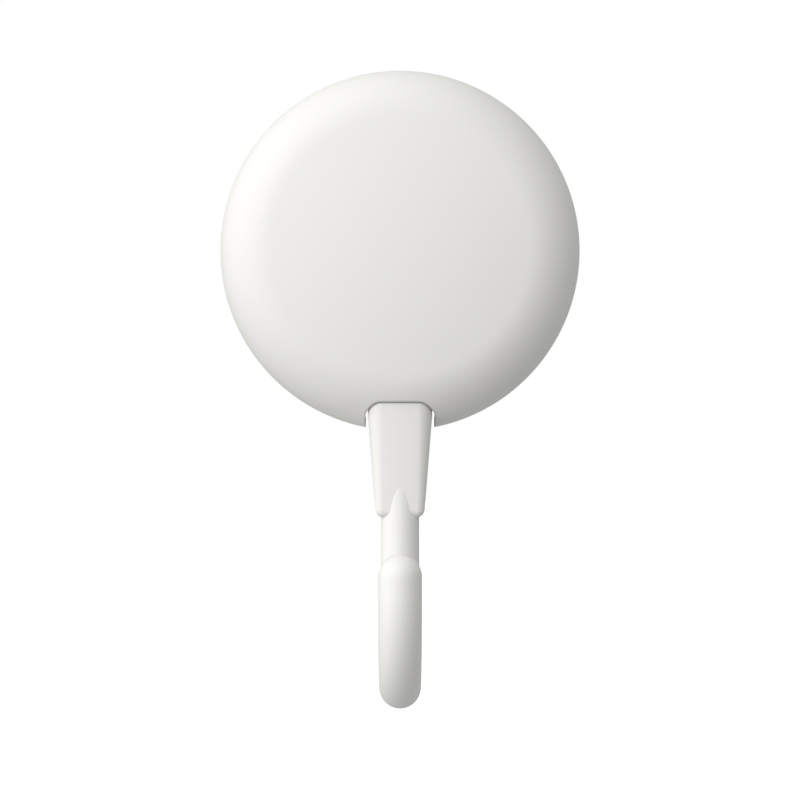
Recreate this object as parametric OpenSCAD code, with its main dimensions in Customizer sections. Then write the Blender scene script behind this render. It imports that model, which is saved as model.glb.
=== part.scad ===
// Twist-lock suction wall hook: a domed cover with a J-shaped hook below it.
// The wall is the plane y = 0 and the origin is the suction cup's centre on the wall.
// +X is to the right, +Y points into the wall and +Z is up, seen from the room.
// A depth is a distance out from the wall, along -Y.
// The hook hangs straight down when the suction is locked on.

/* [Front cover] */
// Outer diameter of the cover
cover_d = 60.4; // [50:0.2:80]
// Wall of the cover
cover_wall = 1.6; // [1.2:0.1:2]
// Radius of the rounded shoulder between the front and the rim
shoulder_r = 11; // [8:0.5:12]
// Radius of the gentle dome across the front
dome_r = 120; // [90:5:300]
// Space between the cover's back edge and the wall
skirt_gap = 1.2; // [0.8:0.1:1.6]
// Space between the inside of the cover and the end of the pull stem
head_room = 0.4; // [0.3:0.1:2]

/* [Hook] */
// Diameter of the hook's rod
rod_d = 6.4; // [5:0.1:8]
// Mean radius of the hook's bend
bend_r = 16.3; // [12:0.1:20]
// Distance from the origin down to the lowest point of the hook
hook_reach = 72.4; // [60:0.5:90]
// Forward lean of the rod behind the bend, in degrees
rod_lean = 6; // [3:0.5:9]
// Straight part of the tip above the bend
tip_rise = 2.3; // [1:0.1:12]

/* [Arm] */
// Length of the arm that shows below the cover
arm_drop = 14.2; // [11:0.2:20]
// Plastic on each side of the rod at the arm's lower end
arm_side_wall = 0.75; // [0.7:0.05:1.5]
// Taper of each side of the arm, in degrees
arm_taper = 4.65; // [3:0.05:6]
// How far the arm's front face lies behind the top of the dome
arm_inset = 3.9; // [3:0.1:4.5]
// Height above the arm's lower end at which the rod breaks through the front face
rod_break = 5; // [3:0.1:7]
// Width of the arm's front face between its rounded edges
arm_face_w = 5.5; // [4.6:0.1:6]
// How far the arm's front face falls from its middle to the rounded edges
arm_crown = 0.1; // [0:0.02:0.2]
// Plastic behind the rod
arm_back_wall = 0.9; // [0.8:0.1:1.5]
// Diameter of the two pins that hold the arm in the carrier
arm_pin_d = 2; // [1.5:0.1:2.5]

/* [Suction cup] */
// How far the twist draws the middle of the cup off the wall
lift = 2.8; // [2:0.1:3.4]
// Width of the flat sealing band round the cup
seal_band = 7.5; // [5:0.5:9]
// Thickness of the soft sealing ring
seal_t = 0.8; // [0.6:0.1:1]
// Rubber between the sealing ring and the pressure plate
lip_t = 1.2; // [1:0.1:1.6]
// Thickness of the cup's membrane
membrane_t = 1.8; // [1.6:0.1:2.2]

/* [Twist lock] */
// Diameter of the pull stem
stem_d = 5; // [4:0.1:6]
// Diameter of the cross pin
pin_d = 2; // [1.5:0.1:2]
// Length of the cross pin
pin_l = 16; // [15:0.1:18]
// Turn from locked to released, in degrees
twist = 90; // [90]
// Flat at each end of a cam ramp, in degrees
cam_dwell = 14; // [13:0.5:16]
// Wall of the guide tube on the pressure plate
tube_wall = 2; // [1.6:0.1:2.2]
// Thickness of the pressure plate
plate_t = 1.8; // [1.5:0.1:2.4]
// Thickness of the carrier's flange
flange_t = 1.7; // [1.5:0.1:2.4]

/* [Clearances] */
// Radial clearance between a turning or sliding part and its guide
run_gap = 0.1; // [0.05:0.01:0.1]
// Space between faces that turn on each other
face_gap = 0.05; // [0.02:0.01:0.1]
// Space under the cross pin, above the cam
cam_gap = 0.15; // [0.12:0.01:0.2]
// Space between parts that press or snap together
fit_gap = 0.05; // [0:0.01:0.1]
// Space between the arm and the slot in the cover
slot_gap = 0.35; // [0.3:0.05:0.6]

/* [Hidden] */

white = [0.88, 0.875, 0.86];
natural = [0.93, 0.92, 0.87];
smoke = [0.72, 0.74, 0.74];
gel = [0.80, 0.83, 0.82];
grey = [0.55, 0.56, 0.57];
steel = [0.70, 0.71, 0.72];

cover_r = cover_d / 2;
cover_in_r = cover_r - cover_wall;
rod_r = rod_d / 2;
stem_r = stem_d / 2;
pin_r = pin_d / 2;
bite = 0.1;               // overlap that makes two shapes of one part fuse
root = 0.3;               // how deep a rib, ramp or catch is rooted in a wall
reach = 1;                // how far a cut runs past the part
edge_cut = 0.4;           // chamfer on the stem and on the rod's upper end
seal_round = 0.4;         // rounding of the sealing ring's outer edge

// Radii, from the rim inwards
rim_gap = 1.4;            // flange to the inside of the cover
flange_r = cover_in_r - rim_gap;
cup_r = flange_r - 0.5;
plate_r = cup_r - 1.5;
seal_in_r = cup_r - seal_band;
dish_r = seal_in_r - 2;
glide_in_r = dish_r + 1;
glide_out_r = plate_r - 0.5;
tube_bore_r = stem_r + run_gap;
tube_r = tube_bore_r + tube_wall;
cam_bore_r = tube_r + run_gap;
pin_pocket_r = pin_l / 2 + 0.3;
cam_r = pin_pocket_r + 0.9;
collar_r = cam_r + 0.8;
hub_bore_r = collar_r + fit_gap;
hub_r = hub_bore_r + 1.5;
web_r = tube_r + 4.4;
cone_out_r = dish_r + 0.5;
ramp_in_r = cam_bore_r - 0.4;
ramp_out_r = pin_pocket_r + root;

// Depths, from the wall outwards, with the suction locked on
lip_front = seal_t + lip_t;
plate_front = lip_front + plate_t;
glide_t = 0.6;
glide_front = plate_front + glide_t;
flange_back = glide_front + face_gap;
flange_front = flange_back + flange_t;
cup_rest = 0.2;           // cup's middle to the wall when the suction is released
cup_mid = cup_rest + lift;
cup_mid_front = cup_mid + membrane_t;
boss_t = 0.3;             // boss over the anchor disc
web_t = 1;
web_back = cup_mid_front + 0.4;
web_front = web_back + web_t;
washer_t = 0.4;
washer_front = web_front + washer_t;
cam_back = washer_front + face_gap;
cam_floor_t = 1;
cam_low = cam_back + cam_floor_t;
cam_high = cam_low + lift;
pin_depth = cam_high + cam_gap + pin_r;
tube_front = pin_depth + 0.6;
stem_front = pin_depth + pin_r + 0.4;
collar_back = cam_back + 1.4;
hub_back = cam_back + 0.2;
hub_front = tube_front - 0.6;
cone_front = web_front + 2.2;
slot_floor = pin_depth - lift - pin_r - 0.3;
cover_depth = stem_front + head_room + cover_wall;

// Anchor disc, moulded into the cup
anchor_t = 0.6;
anchor_r = stem_r + 2;
anchor_back = cup_mid + 0.9;
anchor_front = anchor_back + anchor_t;
anchor_hole_r = 0.6;
anchor_holes = 6;
anchor_ring_r = anchor_r - 1;
spigot_r = stem_r - 1;

// Pegs that key the pressure plate into the cup's lip
pegs = 6;
peg_r = 1.2;
peg_ring_r = (seal_in_r + plate_r) / 2;
peg_t = lip_t - 0.4;

// Arm and rod
arm_end_w = rod_d + 2 * arm_side_wall;
arm_face = cover_depth - arm_inset;
arm_end = -(cover_r + arm_drop);
arm_top = -(hub_r + 1.2);
shoulder_z = -(flange_r + 0.6);
side_slope = tan(arm_taper);
tongue_w = arm_end_w + 2 * (shoulder_z - arm_end) * side_slope;
tongue_back = flange_front + fit_gap;
end_r = 1.3;              // rounding of the arm's lower end
slot_w = tongue_w + 2 * slot_gap + 0.2;
slot_roof = arm_face + slot_gap;
rod_break_z = arm_end + rod_break;
bend_z = -(hook_reach - bend_r - rod_r);
foot_z = bend_z - bend_r * sin(rod_lean);
face_axis = arm_face - rod_r / cos(rod_lean);
function rod_axis(z) = face_axis + (rod_break_z - z) * tan(rod_lean);
foot_depth = rod_axis(foot_z);
bend_depth = foot_depth + bend_r * cos(rod_lean);
rod_top_z = shoulder_z - 1;
groove_w = 1.6;
groove_t = 0.5;
groove_at = 4;            // from the rod's upper end to the foot of its grip groove

// Arm pins and the rails they pass through
arm_pin_r = arm_pin_d / 2;
rail_t = 1.7;
rail_out = tongue_w / 2 + fit_gap + rail_t;
rail_low_z = -(flange_r - 2.5);
rail_l = arm_top - rail_low_z;
arm_pin_z = [arm_top - rail_l * 0.24, arm_top - rail_l * 0.68];
arm_pin_depth = flange_front + 2.7;
rail_front = arm_pin_depth + arm_pin_r + 1.1;

// Snap catches and ledges inside the cover
catches = 4;
catch_sweep = 14;
catch_r = flange_r - 0.6;
catch_front = flange_back - 0.1;
catch_t = 0.7;            // catch at its tip; its back slopes down to the cover's wall
catch_back = skirt_gap + 1;
ledges = 8;
ledge_t = 1.2;
ledge_in_r = flange_r - 4;

// Stiffening ribs on the front of the carrier
carrier_ribs = [90, 38, 142, -14, 194];
rib_t = 1.2;
rib_gap = 0.3;            // ribs and rails to the inside of the cover
rib_hub_h = 1.6;
rib_rim_h = 1;
fin_foot = 0.8;           // foot of a rib or rail above the back of the carrier

// Keys that turn the cam with the carrier
key_w = 3;
key_h = 1.6;
key_l = 0.8;              // how far a key stands out of the cam's collar
key_room = 0.5;           // space past the end of a key
key_back = collar_back;

// Cam ramps
ramp_steps = 18;
stop_drop = 0.4;          // top of the stops below the collar's front

// ---- frames and profiles ----

// Draws in the plane of the wall: x is across, y is up and z is the depth
module facing() rotate([90, 0, 0]) children();

// Turns a profile of (radius, depth) about the cup's axis
module round_part() facing() rotate_extrude($fn = 180) children();

// Draws in the side view: x is the depth and y is the height
module side_view() rotate([90, 0, -90]) children();

// Points of an arc of a (radius, depth) profile, at angles from the front
function arc_points(centre, r, start, end, steps) =
  [for (i = [0:steps]) let (a = start + (end - start) * i / steps) centre + r * [sin(a), cos(a)]];

// Dome with a rounded shoulder, as a profile of (radius, depth), drawn in by a margin
module dome_profile(margin, back) {
  shoulder_x = cover_r - shoulder_r;
  dome_y = cover_depth - dome_r;
  shoulder_y = dome_y + sqrt(pow(dome_r - shoulder_r, 2) - pow(shoulder_x, 2));
  meet_x = shoulder_x * dome_r / (dome_r - shoulder_r);
  intersection() {
    union() {
      intersection() {
        translate([0, dome_y]) circle(r = dome_r - margin, $fn = 720);
        translate([0, shoulder_y - cover_depth]) square([meet_x, 2 * cover_depth]);
      }
      translate([shoulder_x, shoulder_y]) circle(r = shoulder_r - margin, $fn = 180);
      translate([0, shoulder_y - cover_depth]) square([cover_r - margin, cover_depth]);
    }
    translate([0, back]) square([cover_r, cover_depth - back]);
  }
}

// Everything that fits inside the cover with a margin to spare
module inside_cover(margin) round_part() dome_profile(cover_wall + margin, 0);

// Section of the arm across its length: a crowned front face, round front edges and a flat back
module arm_section(width, back, front) {
  half = width / 2;
  face_half = arm_face_w / 2;
  edge_r = half - face_half;
  edge = arc_points([face_half, front - arm_crown - edge_r], edge_r, 90, 0, 10);
  face = [for (t = [0.75, 0.5, 0.25, 0]) [face_half * t, front - arm_crown * t * t]];
  right = concat([[half, back]], edge, face);
  left = [for (i = [len(right) - 2:-1:0]) [-right[i][0], right[i][1]]];
  mirror([0, 1]) polygon(concat(right, left));
}

// ---- suction side ----

// Soft ring that seals on the wall
module sealing_ring() color(gel) round_part() {
  flat_r = cup_r - seal_round;
  translate([seal_in_r, 0]) square([flat_r - seal_in_r, seal_t]);
  translate([flat_r, seal_round]) square([seal_round, seal_t - seal_round]);
  intersection() {
    translate([flat_r, seal_round]) circle(r = seal_round, $fn = 48);
    translate([flat_r, 0]) square(seal_round);
  }
}

// Rise of the membrane from the sealing band (0) to the middle (1)
function ease(t) = t * t * (3 - 2 * t);
function dished(out_r, in_r, low, high, steps) =
  [for (i = [0:steps]) [out_r - (out_r - in_r) * i / steps, low + (high - low) * ease(i / steps)]];

// Cup, drawn up in the middle, with a seat for the anchor disc and the plate's pegs
module suction_cup() color(smoke) {
  flat_r = anchor_r + 1;
  rings = 12;
  under = dished(seal_in_r, flat_r, seal_t, cup_mid, rings);
  over = dished(dish_r - root, flat_r, lip_front, cup_mid_front, rings);
  over_outwards = [for (i = [rings:-1:0]) over[i]];
  boss_front = cup_mid_front + boss_t;
  difference() {
    round_part() polygon(concat(
      [[cup_r, seal_t]], under, [[0, cup_mid], [0, boss_front], [flat_r, boss_front]], over_outwards,
      [[cup_r, lip_front]]
    ));
    facing() {
      translate([0, 0, anchor_back - fit_gap])
        difference() {
          cylinder(h = anchor_t + 2 * fit_gap, r = anchor_r + fit_gap, $fn = 96);
          for (i = [0:anchor_holes - 1])
            rotate(i * 360 / anchor_holes)
              translate([anchor_ring_r, 0, -reach])
              cylinder(h = anchor_t + 2 * reach, r = anchor_hole_r - fit_gap, $fn = 32);
        }
      translate([0, 0, anchor_back]) cylinder(h = membrane_t, r = stem_r + fit_gap, $fn = 96);
      for (i = [0:pegs - 1])
        rotate(i * 360 / pegs)
          translate([peg_ring_r, 0, lip_front - peg_t - fit_gap])
          cylinder(h = peg_t + reach, r = peg_r + fit_gap, $fn = 48);
    }
  }
}

// Plate that presses the cup's lip down, with the tube that guides the pull stem
module pressure_plate() color(natural) difference() {
  union() {
    round_part() polygon([
      [dish_r, lip_front], [plate_r, lip_front], [plate_r, plate_front], [dish_r, plate_front],
      [web_r, web_front], [tube_r, web_front], [tube_r, tube_front], [tube_bore_r, tube_front],
      [tube_bore_r, web_back], [web_r, web_back]
    ]);
    facing()
      for (i = [0:pegs - 1])
        rotate(i * 360 / pegs)
          translate([peg_ring_r, 0, lip_front - peg_t])
          cylinder(h = peg_t + bite, r = peg_r, $fn = 48);
  }
  // slots for the cross pin, open at the front of the tube
  facing()
    translate([0, 0, slot_floor + tube_front])
    cube([2 * (tube_r + reach), pin_d + 2 * run_gap, 2 * tube_front], center = true);
}

// Low-friction ring between the plate and the carrier's flange
module glide_ring() color(grey) round_part()
  translate([glide_in_r, plate_front]) square([glide_out_r - glide_in_r, glide_t]);

// Low-friction washer under the cam
module thrust_washer() color(grey) round_part()
  translate([cam_bore_r, web_front]) square([web_r - cam_bore_r, washer_t]);

// Perforated disc on the stem's foot, which holds the rubber
module anchor_disc() color(steel) facing() translate([0, 0, anchor_back]) difference() {
  cylinder(h = anchor_t, r = anchor_r, $fn = 96);
  translate([0, 0, -reach]) cylinder(h = anchor_t + 2 * reach, r = spigot_r, $fn = 64);
  for (i = [0:anchor_holes - 1])
    rotate(i * 360 / anchor_holes)
      translate([anchor_ring_r, 0, -reach])
      cylinder(h = anchor_t + 2 * reach, r = anchor_hole_r, $fn = 32);
}

// Stem that draws the cup off the wall
module pull_stem() color(steel) difference() {
  round_part() polygon([
    [0, anchor_back], [spigot_r, anchor_back], [spigot_r, anchor_front],
    [stem_r, anchor_front], [stem_r, stem_front - edge_cut], [stem_r - edge_cut, stem_front],
    [0, stem_front]
  ]);
  facing() translate([0, 0, pin_depth]) rotate([0, 90, 0])
    cylinder(h = stem_d + 2 * reach, r = pin_r, center = true, $fn = 64);
}

// Hardened pin through the stem, which rides on the cam
module cross_pin() color(steel) facing() translate([0, 0, pin_depth]) rotate([0, 90, 0])
  cylinder(h = pin_l, r = pin_r, center = true, $fn = 64);

// ---- turning side ----

// Height of the cam at an angle before (-) or after (+) the locked position
function cam_height(a) = cam_high + lift * min(0, a) / twist;

// One helical ramp, which falls evenly over the twist and runs on into the floor
module cam_ramp() {
  base = cam_low - 2 * root;
  angles = concat([cam_dwell + 1], [for (i = [0:ramp_steps + 1]) -twist * i / ramp_steps]);
  points = [for (a = angles) each [
    [ramp_in_r * cos(a), ramp_in_r * sin(a), base],
    [ramp_out_r * cos(a), ramp_out_r * sin(a), base],
    [ramp_out_r * cos(a), ramp_out_r * sin(a), cam_height(a)],
    [ramp_in_r * cos(a), ramp_in_r * sin(a), cam_height(a)]
  ]];
  last = len(points) - 4;
  skin = [for (i = [0:4:last - 4], k = [0:3]) let (a = i + k, b = i + (k + 1) % 4)
    each [[a, a + 4, b + 4], [a, b + 4, b]]];
  polyhedron(
    points = points,
    faces = concat([[0, 1, 2], [0, 2, 3]], skin, [[last + 2, last + 1, last], [last + 3, last + 2, last]])
  );
}

// Block between two ramps, which stops the cross pin
module cam_stop(start, sweep) {
  rotate(start)
    rotate_extrude(angle = sweep, $fn = 180)
    translate([ramp_in_r, cam_low - root])
    square([ramp_out_r - ramp_in_r, tube_front - stop_drop - cam_low + root]);
}

// Cam with two ramps, a collar that holds the carrier down and two keys
module cam_ring() color(natural) facing() {
  difference() {
    union() {
      rotate_extrude($fn = 180) polygon([
        [ramp_in_r, cam_back], [cam_r, cam_back], [cam_r, collar_back],
        [collar_r, collar_back], [collar_r, tube_front], [pin_pocket_r, tube_front],
        [pin_pocket_r, cam_low], [ramp_in_r, cam_low]
      ]);
      for (half = [0, 180]) rotate(half) {
        cam_ramp();
        cam_stop(cam_dwell, 180 - twist - 2 * cam_dwell);
      }
      for (side = [-1, 1])
        translate([0, side * collar_r, key_back + key_h / 2])
          cube([key_w, 2 * key_l, key_h], center = true);
    }
    translate([0, 0, cam_back - reach]) cylinder(h = tube_front, r = cam_bore_r, $fn = 128);
  }
}

// Carrier: flange, hub and the two rails that hold the arm
module hook_carrier() color(natural) difference() {
  union() {
    round_part() intersection() {
      polygon([
        [cam_r + fit_gap, hub_back], [cam_r + fit_gap, collar_back], [hub_bore_r, collar_back],
        [hub_bore_r, hub_front], [hub_r, hub_front], [hub_r, cone_front], [cone_out_r, flange_front],
        [flange_r, flange_front], [flange_r, flange_back], [cone_out_r, flange_back],
        [hub_r, hub_back]
      ]);
      dome_profile(cover_wall + fit_gap, 0);
    }
    intersection() {
      inside_cover(rib_gap);
      facing() {
        for (side = [-1, 1])
          rotate(-90) translate([0, side * (rail_out - rail_t / 2), 0])
            carrier_fin(rail_t, -arm_top, -rail_low_z, rail_front, rail_front);
        for (a = carrier_ribs)
          rotate(a)
            carrier_fin(rib_t, hub_r - root, ledge_in_r, cone_front + rib_hub_h, flange_front + rib_rim_h);
      }
    }
  }
  // key notches in the hub
  facing()
    for (side = [-1, 1])
      translate([0, side * (collar_r + key_l), key_back + hub_front])
        cube([key_w + 2 * fit_gap, 2 * (key_l + key_room), 2 * hub_front], center = true);
  arm_pin_holes();
}

// Upright fin rooted in the carrier's cone and flange, along +X from one radius to another
module carrier_fin(width, in_r, out_r, in_front, out_front) {
  cone_slope = (hub_back - flange_back) / (cone_out_r - hub_r);
  foot = flange_back + fin_foot;
  translate([0, width / 2, 0]) rotate([90, 0, 0]) linear_extrude(width) polygon([
    [in_r, foot + (cone_out_r - in_r) * cone_slope], [cone_out_r, foot], [out_r, foot],
    [out_r, out_front], [in_r, in_front]
  ]);
}

// Two cross holes through the rails and the arm
module arm_pin_holes() facing()
  for (z = arm_pin_z)
    translate([0, z, arm_pin_depth]) rotate([0, 90, 0])
      cylinder(h = 2 * (rail_out + reach), r = arm_pin_r, center = true, $fn = 48);

// Two pins that hold the arm between the rails
module arm_pins() color(steel) facing()
  for (z = arm_pin_z)
    translate([0, z, arm_pin_depth]) rotate([0, 90, 0])
      cylinder(h = 2 * rail_out, r = arm_pin_r, center = true, $fn = 48);

// Moulded arm: a tongue inside the cover and a tapered sleeve round the rod
module hook_arm() color(white) difference() {
  union() {
    translate([0, 0, shoulder_z - bite])
      linear_extrude(arm_top - shoulder_z + bite)
      arm_section(tongue_w, tongue_back, arm_face);
    arm_sleeve();
  }
  // seat on the carrier's cone
  round_part() polygon([
    [0, 0], [cone_out_r, 0], [cone_out_r, flange_front + fit_gap],
    [hub_r, cone_front + fit_gap], [0, cone_front + fit_gap]
  ]);
  rod_bore();
  arm_pin_holes();
}

// Bore in the arm for the rod's leg
module rod_bore() {
  low_z = arm_end - reach;
  side_view() translate([rod_axis(low_z), low_z, 0]) rotate([0, 0, rod_lean]) rotate([-90, 0, 0])
    cylinder(h = (rod_top_z - low_z) / cos(rod_lean), r = rod_r, $fn = 64);
}

// Tapered sleeve round the rod
module arm_sleeve() {
  low_half = arm_end_w / 2;
  back_top = rod_axis(shoulder_z) - rod_r - arm_back_wall;
  back_low = rod_axis(arm_end) - rod_r - arm_back_wall;
  hull($fn = 32) {
    translate([0, 0, shoulder_z - bite])
      linear_extrude(bite) arm_section(tongue_w, back_top, arm_face);
    for (side = [-1, 1]) {
      translate([side * (low_half - end_r), -(arm_face - end_r), arm_end + end_r]) sphere(end_r, $fn = 32);
      translate([side * (low_half - end_r), -(back_low + end_r), arm_end + end_r]) sphere(end_r, $fn = 32);
    }
  }
}

// Steel rod bent to a J, with a round tip and a groove that the arm grips
module hook_rod() color(white) side_view()
  translate([bend_depth, bend_z, 0]) rotate([0, 0, 180 + rod_lean]) {
    rotate_extrude(angle = 180 - rod_lean, $fn = 128) translate([bend_r, 0]) circle(r = rod_r, $fn = 64);
    translate([bend_r, 0, 0]) rotate([90, 0, 0]) rod_leg();
    rotate([0, 0, 180 - rod_lean]) translate([bend_r, 0, 0]) rotate([-90, 0, 0]) {
      cylinder(h = tip_rise, r = rod_r, $fn = 64);
      translate([0, 0, tip_rise]) sphere(r = rod_r, $fn = 64);
    }
  }

// Straight leg of the rod, from the bend up into the arm
module rod_leg() {
  leg_l = (rod_top_z - foot_z) / cos(rod_lean);
  groove_z = leg_l - groove_at;
  rotate_extrude($fn = 64) polygon([
    [0, 0], [rod_r, 0],
    [rod_r, groove_z], [rod_r - groove_t, groove_z],
    [rod_r - groove_t, groove_z + groove_w], [rod_r, groove_z + groove_w],
    [rod_r, leg_l - edge_cut], [rod_r - edge_cut, leg_l], [0, leg_l]
  ]);
}

// Domed cover, open at the back, with the slot for the arm
module front_cover() color(white) difference() {
  union() {
    round_part() difference() {
      dome_profile(0, skirt_gap);
      dome_profile(cover_wall, -reach);
    }
    // snap catches behind the carrier's flange
    facing()
      for (i = [0:catches - 1])
        rotate((i + 0.5) * 360 / catches - catch_sweep / 2)
          rotate_extrude(angle = catch_sweep, $fn = 180)
          polygon([
            [cover_in_r + root, catch_back], [catch_r, catch_front - catch_t],
            [catch_r, catch_front], [cover_in_r + root, catch_front]
          ]);
    // ledges that rest on the flange's front
    intersection() {
      inside_cover(-root);
      facing()
        for (i = [0:ledges - 1])
          rotate((i + 0.5) * 360 / ledges)
            translate([ledge_in_r, -ledge_t / 2, flange_front + fit_gap])
            cube([cover_r, ledge_t, cover_depth]);
    }
  }
  translate([0, 0, -cover_r - reach])
    linear_extrude(cover_r + reach + arm_top)
    arm_section(slot_w, -reach, slot_roof);
}

sealing_ring();
suction_cup();
pressure_plate();
glide_ring();
thrust_washer();
anchor_disc();
pull_stem();
cross_pin();
cam_ring();
hook_carrier();
arm_pins();
hook_arm();
hook_rod();
front_cover();
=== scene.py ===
# Twist-lock suction wall hook: its looks and a small studio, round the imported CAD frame.
# Lengths are in millimetres and turn into metres where a mesh or an object is made.
import math

import bmesh
import bpy
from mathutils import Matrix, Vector


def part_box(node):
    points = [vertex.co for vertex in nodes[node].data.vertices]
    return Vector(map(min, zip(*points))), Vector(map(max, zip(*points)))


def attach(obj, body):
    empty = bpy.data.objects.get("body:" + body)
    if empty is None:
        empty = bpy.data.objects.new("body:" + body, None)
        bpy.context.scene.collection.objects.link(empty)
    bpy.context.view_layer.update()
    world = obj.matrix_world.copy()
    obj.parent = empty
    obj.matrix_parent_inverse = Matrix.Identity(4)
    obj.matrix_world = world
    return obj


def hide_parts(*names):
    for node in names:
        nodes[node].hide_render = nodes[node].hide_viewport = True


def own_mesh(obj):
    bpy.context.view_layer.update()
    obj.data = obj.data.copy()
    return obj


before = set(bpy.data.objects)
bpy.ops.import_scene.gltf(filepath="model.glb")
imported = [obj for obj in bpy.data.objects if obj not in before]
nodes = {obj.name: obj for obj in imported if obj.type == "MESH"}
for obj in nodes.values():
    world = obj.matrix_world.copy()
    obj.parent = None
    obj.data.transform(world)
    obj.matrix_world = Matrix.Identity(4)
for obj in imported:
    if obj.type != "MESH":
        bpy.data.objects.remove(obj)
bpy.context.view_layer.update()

# ---------------------------------------------------------------------------
# Camera. A long lens straight in front of the hook, level, and aimed at a
# point below the middle of the cover, so the whole hook stands in the frame.
# ---------------------------------------------------------------------------
mm = 0.001
camera_distance = 283
camera_height = -25.06

camera_data = bpy.data.cameras.new("studio_camera")
camera_data.lens = 74.97
camera_data.sensor_width = 36
camera = bpy.data.objects.new("studio_camera", camera_data)
camera.location = (0, -camera_distance * mm, camera_height * mm)
camera.rotation_euler = (math.radians(90), 0, 0)
bpy.context.scene.collection.objects.link(camera)
bpy.context.scene.camera = camera

# ---------------------------------------------------------------------------
# Sealing ring. A soft, clear gel ring cast on the cup's lip. Its flat back is
# the only face that touches the wall, and its edges are rounded.
# ---------------------------------------------------------------------------
sharp_angle = 40


def mesh_of(name, points, faces):
    """Mesh from points in millimetres, with outward faces and smooth shading up to the sharp edges."""
    mesh = bpy.data.meshes.new(name)
    mesh.from_pydata([[c * mm for c in point] for point in points], [], faces)
    work = bmesh.new()
    work.from_mesh(mesh)
    bmesh.ops.recalc_face_normals(work, faces=work.faces)
    for face in work.faces:
        face.smooth = True
    work.to_mesh(mesh)
    work.free()
    mesh.set_sharp_from_angle(angle=math.radians(sharp_angle))
    return mesh


def piece_of(name, mesh, body, nodes, material):
    """Links a mesh as a piece of a CAD body, in the place of CAD nodes and with a slot's material."""
    piece = bpy.data.objects.new(name, mesh)
    bpy.context.scene.collection.objects.link(piece)
    mesh.materials.append(material)
    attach(piece, body)
    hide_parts(*nodes)
    return piece


def arc(cx, cy, radius, start, end, steps):
    """Points of an arc in a (radius, depth) profile, angles in degrees."""
    angles = [math.radians(start + (end - start) * i / steps) for i in range(steps + 1)]
    return [(cx + radius * math.cos(a), cy + radius * math.sin(a)) for a in angles]


def rounded(profile, radius, steps=4):
    """Rounds every corner of a closed (radius, depth) profile."""
    result = []
    for i, corner in enumerate(profile):
        here = Vector(corner)
        before = Vector(profile[i - 1]) - here
        after = Vector(profile[(i + 1) % len(profile)]) - here
        cut = min(radius / math.tan(before.angle(after) / 2), 0.45 * before.length, 0.45 * after.length)
        start, end = here + before.normalized() * cut, here + after.normalized() * cut
        for k in range(steps + 1):
            t = k / steps
            result.append(tuple(start.lerp(here, t).lerp(here.lerp(end, t), t)))
    return result


def loft(rows, closed):
    """Faces between rows of point numbers, with a cap at each end unless the last row meets the first."""
    faces = []
    pairs = list(zip(rows, rows[1:])) + ([(rows[-1], rows[0])] if closed else [])
    for low, high in pairs:
        for i in range(len(low)):
            j = (i + 1) % len(low)
            corners = list(dict.fromkeys((low[i], low[j], high[j], high[i])))
            if len(corners) > 2:
                faces.append(corners)
    if not closed:
        faces += [row for row in (rows[0], rows[-1]) if len(set(row)) > 2]
    return faces


def skinned(name, outlines, closed=False):
    """Mesh through outlines of equally many points. An outline of one point is a pole."""
    around = max(len(outline) for outline in outlines)
    points, rows = [], []
    for outline in outlines:
        first = len(points)
        rows.append([first] * around if len(outline) == 1 else list(range(first, first + around)))
        points += outline
    return mesh_of(name, points, loft(rows, closed))


def full_turn(steps):
    """Angles round a full turn, in radians."""
    return [2 * math.pi * i / steps for i in range(steps)]


def turned(name, profile, closed=True, around=256):
    """Turns a (radius, depth) profile about the cup's axis. A point on the axis becomes a pole."""
    outlines = [
        [(r * math.sin(t), -depth, -r * math.cos(t)) for t in full_turn(around if r > 0 else 1)]
        for r, depth in profile
    ]
    return skinned(name, outlines, closed)


def node(tree, kind, inputs=None, **settings):
    """Adds a shader node, sets its properties, and sets or links its inputs by name."""
    made = tree.nodes.new(kind)
    for key, value in settings.items():
        setattr(made, key, value)
    for key, value in (inputs or {}).items():
        if isinstance(value, bpy.types.NodeSocket):
            tree.links.new(value, made.inputs[key])
        else:
            made.inputs[key].default_value = value
    return made


def effect(name, inputs, outputs):
    """Starts a shader node group with named number inputs and outputs."""
    group = bpy.data.node_groups.new(name, "ShaderNodeTree")
    for label, value in inputs.items():
        group.interface.new_socket(label, in_out="INPUT", socket_type="NodeSocketFloat").default_value = value
    for label in outputs:
        group.interface.new_socket(label, in_out="OUTPUT", socket_type="NodeSocketFloat")
    return group, node(group, "NodeGroupInput").outputs, node(group, "NodeGroupOutput").inputs


def make_speckle():
    """Unevenness of a moulded or coated surface: a fine height, and a slow change of tone."""
    group, ins, outs = effect("surface_speckle", {"Grain": 3000.0, "Drift": 60.0}, ("Height", "Tone"))
    place = node(group, "ShaderNodeTexCoord").outputs["Object"]
    fine = node(group, "ShaderNodeTexNoise", {"Vector": place, "Scale": ins["Grain"], "Detail": 3.0})
    slow = node(group, "ShaderNodeTexNoise", {"Vector": place, "Scale": ins["Drift"], "Detail": 4.0})
    group.links.new(fine.outputs["Fac"], outs["Height"])
    group.links.new(slow.outputs["Fac"], outs["Tone"])
    return group


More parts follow.
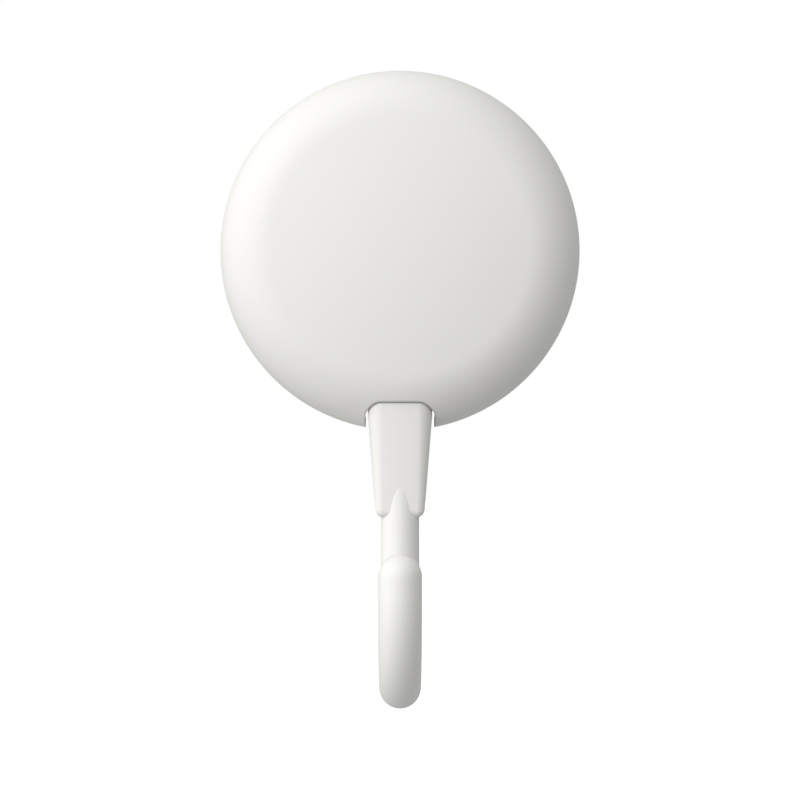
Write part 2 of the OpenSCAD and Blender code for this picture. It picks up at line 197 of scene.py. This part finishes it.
def make_dust_and_painted_shade():
    """Dust and painted shade: a mask strongest in sheltered corners and creases, where shade falls, broken up
    into faint patches.
    """
    group, ins, outs = effect("dust_and_painted_shade", {"Reach": 0.003, "Amount": 0.5}, ("Mask",))
    # Painted shade: ambient occlusion darkens the colour in corners, creases and under edges.
    open_sky = node(group, "ShaderNodeAmbientOcclusion", {"Distance": ins["Reach"]}, samples=4)
    shelter = node(
        group, "ShaderNodeMapRange", {"Value": open_sky.outputs["AO"], "To Min": 1.0, "To Max": 0.0}
    )
    place = node(group, "ShaderNodeTexCoord").outputs["Object"]
    patches = node(group, "ShaderNodeTexNoise", {"Vector": place, "Scale": 900.0, "Detail": 5.0})
    dense = node(
        group, "ShaderNodeMapRange", {"Value": patches.outputs["Fac"], "From Min": 0.35, "From Max": 0.7}
    )
    both = node(group, "ShaderNodeMath", operation="MULTIPLY")
    group.links.new(shelter.outputs["Result"], both.inputs[0])
    group.links.new(dense.outputs["Result"], both.inputs[1])
    scaled = node(group, "ShaderNodeMath", operation="MULTIPLY")
    group.links.new(both.outputs[0], scaled.inputs[0])
    group.links.new(ins["Amount"], scaled.inputs[1])
    group.links.new(scaled.outputs[0], outs["Mask"])
    return group


speckle = make_speckle()
dust_and_painted_shade = make_dust_and_painted_shade()
# Colour of the dust, which also paints shade into sheltered corners and under edges.
dust_and_shade_colour = (0.42, 0.40, 0.36)


def mixed(tree, amount, first, second):
    """Mixes two colours, each a colour or a socket, by a value that changes over the surface."""
    mix = node(tree, "ShaderNodeMix", data_type="RGBA")
    tree.links.new(amount, mix.inputs["Factor"])
    for label, colour in (("A", first), ("B", second)):
        socket = next(s for s in mix.inputs if s.name == label and s.type == "RGBA")
        if isinstance(colour, bpy.types.NodeSocket):
            tree.links.new(colour, socket)
        else:
            socket.default_value = (*colour, 1)
    return next(s for s in mix.outputs if s.type == "RGBA")


def finish_of(name, dark, light, rough, grain, drift, bump, dust_and_shade, edge=0, **constants):
    """A material: two close colours, a roughness range, fine relief (mm), dust with painted shade in
    sheltered corners, and softened edges (mm).
    """
    made = bpy.data.materials.new(name)
    made.use_nodes = True
    tree = made.node_tree
    shader = tree.nodes["Principled BSDF"]
    spots = node(tree, "ShaderNodeGroup", node_tree=speckle)
    spots.inputs["Grain"].default_value = grain
    spots.inputs["Drift"].default_value = drift
    dust_shade_node = node(tree, "ShaderNodeGroup", node_tree=dust_and_painted_shade)
    dust_shade_node.inputs["Amount"].default_value = dust_and_shade
    clean = mixed(tree, spots.outputs["Tone"], dark, light)
    # Dust colour mixed in where the corners are sheltered: dust together with painted shade.
    tree.links.new(mixed(tree, dust_shade_node.outputs["Mask"], clean, dust_and_shade_colour), shader.inputs["Base Color"])
    worn = node(
        tree, "ShaderNodeMapRange", {"Value": spots.outputs["Tone"], "To Min": rough[0], "To Max": rough[1]}
    )
    dulled = node(tree, "ShaderNodeMath", operation="MULTIPLY_ADD", use_clamp=True)
    tree.links.new(dust_shade_node.outputs["Mask"], dulled.inputs[0])
    dulled.inputs[1].default_value = 0.3
    tree.links.new(worn.outputs["Result"], dulled.inputs[2])
    tree.links.new(dulled.outputs[0], shader.inputs["Roughness"])
    relief = node(tree, "ShaderNodeBump", {"Height": spots.outputs["Height"], "Distance": bump * mm})
    if edge:
        soft_edges = node(tree, "ShaderNodeBevel", {"Radius": edge * mm}, samples=4)
        tree.links.new(soft_edges.outputs["Normal"], relief.inputs["Normal"])
    tree.links.new(relief.outputs["Normal"], shader.inputs["Normal"])
    for key, value in constants.items():
        shader.inputs[key.replace("_", " ")].default_value = value
    return made


def depth_range(name):
    """Depths from the wall, in mm, of a CAD node's back and front, and its outer radius."""
    low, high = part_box(name)
    return -high.y / mm, -low.y / mm, high.x / mm


seal_back, seal_front, seal_r = depth_range("sealing_ring")
seal_band = 7.5
seal_in_r = seal_r - seal_band
seal_edge_r = 0.25
gel = finish_of(
    "sealing_gel", (0.52, 0.56, 0.54), (0.58, 0.61, 0.59), (0.10, 0.22),
    grain=700, drift=45, bump=0.004, dust_and_shade=0.6, Coat_Weight=0.4, Coat_Roughness=0.06,
)
ring_profile = rounded(
    [(seal_in_r, seal_back), (seal_r, seal_back), (seal_r, seal_front), (seal_in_r, seal_front)], seal_edge_r
)
ring_mesh = turned("sealing_ring_gel", ring_profile)
piece_of("sealing_ring_gel", ring_mesh, "base", ["sealing_ring"], gel)

# ---------------------------------------------------------------------------
# Suction cup. Moulded grey rubber: a flat lip under the sealing band, and a
# membrane, drawn here in one fixed shape, that on the real cup flattens when the
# twist lets the stem down. The rubber over the anchor disc goes up and down with the stem.
# ---------------------------------------------------------------------------
_, cup_front, cup_r = depth_range("suction_cup")
disc_back, disc_front, disc_r = depth_range("anchor_disc")
lip_t = 1.2
lip_edge_r = 0.35
lip_front = seal_front + lip_t
rubber_under_disc = 0.9
membrane_t = 1.8
cup_mid = disc_back - rubber_under_disc
cup_mid_front = cup_mid + membrane_t
flat_r = disc_r + 1
dish_r = seal_in_r - 2.3
seam_r = seal_in_r - 1.5


def ease(t):
    """Smooth step from 0 to 1."""
    t = min(1.0, max(0.0, t))
    return t * t * (3 - 2 * t)


def cup_under(r):
    """Depth of the cup's back at a radius."""
    return seal_front + (cup_mid - seal_front) * ease((seal_in_r - r) / (seal_in_r - flat_r))


def cup_over(r):
    """Depth of the cup's front at a radius."""
    return lip_front + (cup_mid_front - lip_front) * ease((dish_r - r) / (dish_r - flat_r))


def evenly(start, end, steps):
    """Numbers from start to end, both included."""
    return [start + (end - start) * i / steps for i in range(steps + 1)]


lip_profile = (
    arc(cup_r - lip_edge_r, seal_front + lip_edge_r, lip_edge_r, 0, -90, 6)
    + [(r, cup_under(r)) for r in evenly(seal_in_r, seam_r, 6)]
    + [(seam_r, lip_front)]
    + arc(cup_r - lip_edge_r, lip_front - lip_edge_r, lip_edge_r, 90, 0, 6)
)
pocket_floor, pocket_r = disc_back - 0.2, disc_r + 0.1
pocket_edge_r = 0.3
membrane_radii = evenly(seam_r, flat_r, 40)
membrane_profile = (
    [(r, cup_under(r)) for r in membrane_radii]
    + [(0, cup_mid), (0, pocket_floor), (pocket_r, pocket_floor), (pocket_r, cup_front)]
    + arc(flat_r - pocket_edge_r, cup_front - pocket_edge_r, pocket_edge_r, 90, 0, 4)[:-1]
    + [(r, cup_over(r)) for r in reversed(membrane_radii)]
)
rubber = finish_of(
    "cup_rubber", (0.30, 0.315, 0.31), (0.34, 0.355, 0.35), (0.38, 0.52),
    grain=2200, drift=50, bump=0.006, dust_and_shade=0.8,
)
piece_of("cup_lip", turned("cup_lip", lip_profile), "base", ["suction_cup"], rubber)
membrane_mesh = turned("cup_membrane", membrane_profile, closed=False)
membrane = piece_of("cup_membrane", membrane_mesh, "base", ["suction_cup"], rubber)
skin = 0.02
boss_in_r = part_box("pull_stem")[1].x / mm + skin
boss_back = disc_front + skin
boss_edge_r = 0.1
boss_profile = rounded(
    [(boss_in_r, boss_back), (disc_r, boss_back), (disc_r, cup_front), (boss_in_r, cup_front)], boss_edge_r
)
piece_of("cup_boss", turned("cup_boss", boss_profile), "stem", ["suction_cup"], rubber)
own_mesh(membrane)


def finish_node(name, material):
    """Gives a CAD node a material in the place of the one it came with."""
    nodes[name].data.materials.clear()
    nodes[name].data.materials.append(material)


acetal = finish_of(
    "acetal", (0.74, 0.72, 0.66), (0.79, 0.775, 0.72), (0.28, 0.38),
    grain=1800, drift=40, bump=0.002, dust_and_shade=0.5, edge=0.12, Subsurface_Weight=0.06, Subsurface_Scale=0.0015,
)
finish_node("pressure_plate", acetal)
finish_node("cam_ring", acetal)

# ---------------------------------------------------------------------------
# Glide ring and thrust washer. Thin rings punched from grey low-friction
# sheet, which the carrier and the cam turn on.
# ---------------------------------------------------------------------------
bearing_sheet = finish_of(
    "bearing_plastic", (0.17, 0.175, 0.18), (0.22, 0.225, 0.23), (0.22, 0.34),
    grain=1200, drift=90, bump=0.002, dust_and_shade=0.4, edge=0.06,
)
finish_node("glide_ring", bearing_sheet)
finish_node("thrust_washer", bearing_sheet)

# ---------------------------------------------------------------------------
# Anchor disc, pull stem, cross pin and arm pins. Plated steel, turned or
# ground, so the surface carries very fine rings and a few dull patches.
# ---------------------------------------------------------------------------
steel = finish_of(
    "plated_steel", (0.52, 0.53, 0.54), (0.60, 0.60, 0.61), (0.22, 0.36),
    grain=2500, drift=120, bump=0.001, dust_and_shade=0.4, edge=0.08, Metallic=1.0,
)
ring_depth = 0.0008
steel_tree = steel.node_tree
steel_normal = steel_tree.nodes["Principled BSDF"].inputs["Normal"]
rings = node(
    steel_tree, "ShaderNodeTexWave",
    {
        "Vector": node(steel_tree, "ShaderNodeTexCoord").outputs["Object"],
        "Scale": 9000.0, "Distortion": 0.6, "Detail": 2.0,
    },
    wave_type="RINGS", rings_direction="Y",
)
grooves = node(
    steel_tree, "ShaderNodeBump",
    {
        "Height": rings.outputs["Fac"], "Distance": ring_depth * mm,
        "Normal": steel_normal.links[0].from_socket,
    },
)
steel_tree.links.new(grooves.outputs["Normal"], steel_normal)
for name in ("anchor_disc", "pull_stem", "cross_pin", "arm_pins"):
    finish_node(name, steel)

# ---------------------------------------------------------------------------
# Hook carrier. One moulding in glass-filled plastic: flange, cone, hub, ribs
# and rails, off-white, with a duller and coarser skin than the cover.
# ---------------------------------------------------------------------------
carrier_plastic = finish_of(
    "carrier_plastic", (0.66, 0.655, 0.63), (0.72, 0.715, 0.69), (0.42, 0.58),
    grain=1500, drift=70, bump=0.006, dust_and_shade=0.5, edge=0.15,
)
finish_node("hook_carrier", carrier_plastic)

# ---------------------------------------------------------------------------
# Hook arm. Warm white moulded plastic: a tongue inside the cover and, below
# it, a tapered sleeve with rounded edges. The rod breaks out of its face.
# ---------------------------------------------------------------------------
satin = dict(rough=(0.40, 0.46), grain=3200, drift=40, bump=0.0015)
arm_white = finish_of("white_plastic_arm", (0.775, 0.767, 0.738), (0.787, 0.779, 0.750), dust_and_shade=0.4, **satin)
arm_low, arm_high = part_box("hook_arm")
arm_face = -arm_low.y / mm
arm_end, arm_top = arm_low.z / mm, arm_high.z / mm
sleeve_l = 16.6
shoulder_z = arm_end + sleeve_l
tongue_half = arm_high.x / mm
taper = math.tan(math.radians(4.65))
end_half = tongue_half - sleeve_l * taper
end_r = 1.3
top_edge = 0.3
back_edge_r = 0.7
face_half = 2.75
end_narrowing = 0.6
crown = 0.0145
rod_r = 3.2
lean = math.radians(6)
face_axis = arm_face - rod_r / math.cos(lean)
break_z = arm_end + 5
wall_behind_rod = 0.9
tongue_back, cone_front = 6.2, 8.45
cone_r, hub_r = 17.7, 11.55


def quarter_turn(steps):
    """Angles of a quarter turn without its start, in radians."""
    return evenly(0, math.pi / 2, steps)[1:]


def rod_axis(z):
    """Depth of the axis of the rod's leg at a height."""
    return face_axis + (break_z - z) * math.tan(lean)


def half_width(z):
    """Half the arm's width at a height: straight along the tongue, then tapered to the lower end."""
    return tongue_half if z > shoulder_z else end_half + (z - arm_end) * taper


def arm_back(z):
    """Depth of the arm's back: on the carrier's cone and flange inside the cover, then behind the rod."""
    if z > shoulder_z:
        rise = (cone_r + z) / (cone_r - hub_r)
        return tongue_back + (cone_front - tongue_back) * min(1.0, max(0.0, rise))
    return rod_axis(z) - rod_r - wall_behind_rod


def crowned(x, top):
    """Depth of a face that falls gently from its middle to its sides."""
    return top - crown * x**2


def mirrored(right):
    """Closes a (width, depth) outline from its right half, which starts on the middle line."""
    return right + [(-x, d) for x, d in reversed(right[1:])]


def arm_outline(z, inset):
    """Points of the arm's section: crowned face, wide round front edges and small round back edges."""
    half, back = half_width(z) - inset, arm_back(z) + inset
    flat = face_half - end_narrowing * inset
    edge_r = half - flat
    side = [(x, crowned(x, arm_face - inset)) for x in evenly(0, flat, 8)]
    top = side[-1][1]
    round_front = [(flat + edge_r * math.sin(a), top - edge_r * (1 - math.cos(a))) for a in quarter_turn(14)]
    straight = [(half, d) for d in evenly(round_front[-1][1], back + back_edge_r, 4)[1:]]
    round_back = [
        (half - back_edge_r * (1 - math.cos(a)), back + back_edge_r * (1 - math.sin(a)))
        for a in quarter_turn(6)
    ]
    return mirrored(side + round_front + straight + round_back)


def arm_mesh():
    """Skins the arm from its top to its rounded lower end, as (height, inset) levels."""
    levels = [(arm_top, top_edge)]
    levels += [(z, 0.0) for z in evenly(arm_top - top_edge, shoulder_z + skin, 12)]
    levels += [(z, 0.0) for z in [shoulder_z - skin] + evenly(shoulder_z, arm_end + end_r, 24)[1:]]
    levels += [(arm_end + end_r * (1 - math.sin(a)), end_r * (1 - math.cos(a))) for a in quarter_turn(10)]
    outlines = [[(x, -d, z) for x, d in arm_outline(max(z, arm_end), inset)] for z, inset in levels]
    return skinned("arm_body", outlines)


def tube(name, path, normals, radii, around=96):
    """Tube through points in the x = 0 plane, each with a unit normal in that plane and a radius."""
    outlines = [
        [(r * math.sin(t), y + r * math.cos(t) * ny, z + r * math.cos(t) * nz)
         for t in full_turn(around if r > 0 else 1)]
        for (y, z), (ny, nz), r in zip(path, normals, radii)
    ]
    return skinned(name, outlines)


def boolean_shape(name, mesh):
    """Links a shape that serves in a boolean and is then taken away."""
    shape = bpy.data.objects.new(name, mesh)
    bpy.context.scene.collection.objects.link(shape)
    return shape


def combine(mesh, tools, sharp=sharp_angle):
    """Cuts tools from a mesh or joins them to it, from a list of (mesh, operation)."""
    body = boolean_shape("boolean_body", mesh)
    shapes = []
    for tool_mesh, operation in tools:
        shape = boolean_shape("boolean_tool", tool_mesh)
        step = body.modifiers.new("step", "BOOLEAN")
        step.operation = operation
        step.solver = "EXACT"
        step.object = shape
        shapes.append(shape)
    done = bpy.data.meshes.new_from_object(body.evaluated_get(bpy.context.evaluated_depsgraph_get()))
    done.name = mesh.name
    for shape in shapes + [body]:
        bpy.data.objects.remove(shape)
    done.polygons.foreach_set("use_smooth", [True] * len(done.polygons))
    done.set_sharp_from_angle(angle=math.radians(sharp))
    return done


down_leg = (-math.sin(lean), -math.cos(lean))
off_leg = (-math.cos(lean), math.sin(lean))
bore_path = [(-rod_axis(z), z) for z in (shoulder_z - 1, arm_end - 1)]
bore_gap = 0.005
bore = tube("rod_bore", bore_path, [off_leg] * 2, [rod_r + bore_gap] * 2)
pin_low, pin_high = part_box("arm_pins")
pin_r = 1.0
pin_reach = 9
pin_depth = -(pin_low.y + pin_high.y) / 2 / mm


def pin_hole(z):
    """Cylinder across the arm at a pin's height."""
    circle = [(-pin_depth + pin_r * math.cos(t), z + pin_r * math.sin(t)) for t in full_turn(32)]
    return skinned("pin_hole", [[(x, *point) for point in circle] for x in (-pin_reach, pin_reach)])


arm_cuts = [(bore, "DIFFERENCE")]
arm_cuts += [(pin_hole(z), "DIFFERENCE") for z in (pin_high.z / mm - pin_r, pin_low.z / mm + pin_r)]
arm = combine(arm_mesh(), arm_cuts, 35)
piece_of("arm_moulding", arm, "front", ["hook_arm"], arm_white)

# ---------------------------------------------------------------------------
# Hook rod. Steel bent to a J with a hemispherical tip, under a smooth white
# coat. The upper end is pressed in the arm, which grips a groove in it.
# ---------------------------------------------------------------------------
rod_top_z = shoulder_z - 1
rod_chamfer, chamfer_mid = 0.4, 0.15
groove_start, groove_end, groove_depth = 2.4, 4.0, 0.5
bend_r = 16.3
bend_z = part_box("hook_rod")[0].z / mm + bend_r + rod_r
foot_z = bend_z - bend_r * math.sin(lean)
bend_y = -(rod_axis(foot_z) + bend_r * math.cos(lean))
tip_rise = 2.3


def rod_mesh():
    """Sweeps the rod from its grooved upper end, round the bend, to its tip."""
    groove_r = rod_r - groove_depth
    leg = (rod_top_z - foot_z) / math.cos(lean)
    stations = [(0, rod_r - rod_chamfer), (chamfer_mid, rod_r - chamfer_mid), (rod_chamfer, rod_r)]
    stations += [(groove_start, rod_r), (groove_start, groove_r), (groove_end, groove_r)]
    stations += [(s, rod_r) for s in evenly(groove_end, leg, 12)]
    path = [(-rod_axis(rod_top_z) + down_leg[0] * s, rod_top_z + down_leg[1] * s) for s, _ in stations]
    normals = [off_leg] * len(path)
    radii = [r for _, r in stations]
    for turn in evenly(lean, math.pi, 72)[1:]:
        path.append((bend_y + bend_r * math.cos(turn), bend_z - bend_r * math.sin(turn)))
        normals.append((-math.cos(turn), math.sin(turn)))
        radii.append(rod_r)
    tip_y, tip_z = path[-1][0], bend_z + tip_rise
    for a in evenly(0, math.pi / 2, 16)[:-1]:
        path.append((tip_y, tip_z + rod_r * math.sin(a)))
        normals.append((1.0, 0.0))
        radii.append(rod_r * math.cos(a))
    path.append((tip_y, tip_z + rod_r))
    normals.append((1.0, 0.0))
    radii.append(0.0)
    return tube("rod_coat", path, normals, radii)


coat = finish_of(
    "white_coating", (0.795, 0.787, 0.757), (0.805, 0.797, 0.767), (0.36, 0.42),
    grain=1400, drift=40, bump=0.003, dust_and_shade=0.1, Coat_Weight=0.1, Coat_Roughness=0.25,
)
piece_of("rod_coat", rod_mesh(), "front", ["hook_rod"], coat)

# ---------------------------------------------------------------------------
# Front cover. A warm white moulded dome with a wide rounded shoulder, open at
# the back. Catches and ledges inside hold it on the carrier's flange, and a
# slot in the rim lets the arm out.
# ---------------------------------------------------------------------------
cover_white = finish_of(
    "white_plastic_cover", (0.790, 0.782, 0.752), (0.803, 0.795, 0.765), dust_and_shade=0.25, edge=0.5, **satin
)
skirt_back, cover_depth, cover_r = depth_range("front_cover")
cover_wall = 1.6
shoulder_r = 11
dome_r = 120
shoulder_x = cover_r - shoulder_r
dome_c = cover_depth - dome_r
shoulder_c = dome_c + math.sqrt((dome_r - shoulder_r) ** 2 - shoulder_x**2)
meet = math.degrees(math.asin(shoulder_x / (dome_r - shoulder_r)))
rim_r, inner_rim_r = 0.5, 0.25
root = 0.3
flange_r = cover_r - cover_wall - 1.4
flange_back, flange_front = 4.45, 6.15
catches, catch_sweep, catch_t = 4, 14, 0.7
catch_r, catch_front = flange_r - 0.6, flange_back - 0.1
ledges, ledge_t = 8, 1.2
ledge_in_r, ledge_back = flange_r - 4, flange_front + 0.05
slot_gap, slot_side_gap = 0.2, 0.45


def dome_line(margin, dome_steps=44, shoulder_steps=36):
    """Profile from the middle of the dome over the shoulder to its widest point, drawn in by a margin."""
    dome = arc(0, dome_c, dome_r - margin, 90, 90 - meet, dome_steps)
    bend = arc(shoulder_x, shoulder_c, shoulder_r - margin, 90 - meet, 0, shoulder_steps)
    return [(0.0, dome[0][1])] + dome[1:] + bend[1:]


shell_profile = (
    dome_line(0)
    + arc(cover_r - rim_r, skirt_back + rim_r, rim_r, 0, -90, 6)
    + arc(cover_r - cover_wall + inner_rim_r, skirt_back + inner_rim_r, inner_rim_r, -90, -180, 4)
    + list(reversed(dome_line(cover_wall, 24, 24)))
)
shell = turned("cover_shell", shell_profile, closed=False, around=384)


def catch_block(start):
    """Sloped catch behind the carrier's flange, from a turn in degrees from straight down."""
    root_r = cover_r - cover_wall + root
    slope = [(root_r, skirt_back + 1), (catch_r, catch_front - catch_t)]
    profile = slope + [(catch_r, catch_front), (root_r, catch_front)]
    turns = [math.radians(a) for a in evenly(start, start + catch_sweep, 8)]
    return skinned("catch", [[(r * math.sin(t), -d, -r * math.cos(t)) for r, d in profile] for t in turns])


def ledge_block(turn):
    """Upright ledge that rests on the front of the carrier's flange."""
    top = [p for p in dome_line(cover_wall - root) if p[0] > ledge_in_r and p[1] > ledge_back]
    profile = [(ledge_in_r, ledge_back), (ledge_in_r, top[0][1])] + top + [(top[-1][0], ledge_back)]
    outlines = [
        [(r * math.sin(turn) + side * math.cos(turn), -d, side * math.sin(turn) - r * math.cos(turn))
         for r, d in profile]
        for side in (-ledge_t / 2, ledge_t / 2)
    ]
    return skinned("ledge", outlines)


def slot_mesh():
    """Channel that lets the arm out: its section is the arm's own, with a gap all round."""
    half = tongue_half + slot_side_gap
    edge_r = half - face_half
    right = [(x, crowned(x, arm_face + slot_gap)) for x in evenly(0, face_half, 8)]
    top = right[-1][1]
    right += [(face_half + edge_r * math.sin(a), top - edge_r * (1 - math.cos(a))) for a in quarter_turn(20)]
    outline = mirrored(right + [(half, -1)])
    return skinned("slot", [[(x, -d, z) for x, d in outline] for z in (-cover_r - 1, arm_top)])


cover_tools = [(catch_block((i + 0.5) * 360 / catches - catch_sweep / 2), "UNION") for i in range(catches)]
cover_tools += [(ledge_block(math.radians((i + 0.5) * 360 / ledges)), "UNION") for i in range(ledges)]
cover_tools += [(slot_mesh(), "DIFFERENCE")]
cover = combine(shell, cover_tools)
piece_of("cover_dome", cover, "front", ["front_cover"], cover_white)

# ---------------------------------------------------------------------------
# Studio. A pale floor far below, and one broad soft light: brightest from the
# left, front and above, and fading evenly to the lower right.
# ---------------------------------------------------------------------------
floor_half, floor_z = 5000, -350
floor_mesh = bpy.data.meshes.new("studio_floor")
floor_mesh.from_pydata(
    [(x * floor_half * mm, y * floor_half * mm, floor_z * mm)
     for x, y in ((-1, -1), (1, -1), (1, 1), (-1, 1))],
    [], [(0, 1, 2, 3)],
)
floor = bpy.data.objects.new("studio_floor", floor_mesh)
bpy.context.scene.collection.objects.link(floor)
floor.visible_diffuse = False
floor.visible_glossy = False
pale_floor = bpy.data.materials.new("pale_floor")
pale_floor.use_nodes = True
floor_shader = pale_floor.node_tree.nodes["Principled BSDF"].inputs
floor_shader["Base Color"].default_value = (0.95, 0.95, 0.95, 1)
floor_shader["Roughness"].default_value = 0.9
floor_shader["Emission Color"].default_value = (1, 1, 1, 1)
floor_shader["Emission Strength"].default_value = 0.4
floor_mesh.materials.append(pale_floor)

world = bpy.data.worlds.new("soft_studio")
world.use_nodes = True
bpy.context.scene.world = world
sky = world.node_tree
sky.nodes.clear()
direction = node(sky, "ShaderNodeTexCoord").outputs["Generated"]


def along_direction(vector):
    """How far the direction of a ray of light points along a vector."""
    product = node(sky, "ShaderNodeVectorMath", operation="DOT_PRODUCT")
    sky.links.new(direction, product.inputs[0])
    product.inputs[1].default_value = vector
    return product.outputs["Value"]


def sky_maths(operation, *values):
    """Maths on the light: each value is a socket or a number."""
    made = node(sky, "ShaderNodeMath", operation=operation)
    for socket, value in zip(made.inputs, values):
        if isinstance(value, bpy.types.NodeSocket):
            sky.links.new(value, socket)
        else:
            socket.default_value = value
    return made.outputs[0]


even_level = 0.50
slope = along_direction((-0.50, -0.325, 0.32))
key_level = 0.85
key = along_direction((-0.611, -0.679, 0.407))
key_squared = sky_maths("MULTIPLY", key, key)
level = sky_maths("ADD", sky_maths("MULTIPLY_ADD", key_squared, key_level, slope), even_level)
soft = node(sky, "ShaderNodeBackground", {"Color": (1, 1, 1, 1), "Strength": level})
plain = node(sky, "ShaderNodeBackground", {"Color": (1, 1, 1, 1), "Strength": 1.0})
seen = node(sky, "ShaderNodeLightPath").outputs["Is Camera Ray"]
choice = node(sky, "ShaderNodeMixShader", {"Fac": seen})
sky.links.new(soft.outputs[0], choice.inputs[1])
sky.links.new(plain.outputs[0], choice.inputs[2])
sky.links.new(choice.outputs[0], node(sky, "ShaderNodeOutputWorld").inputs["Surface"])
bpy.context.scene.view_settings.view_transform = "Standard"
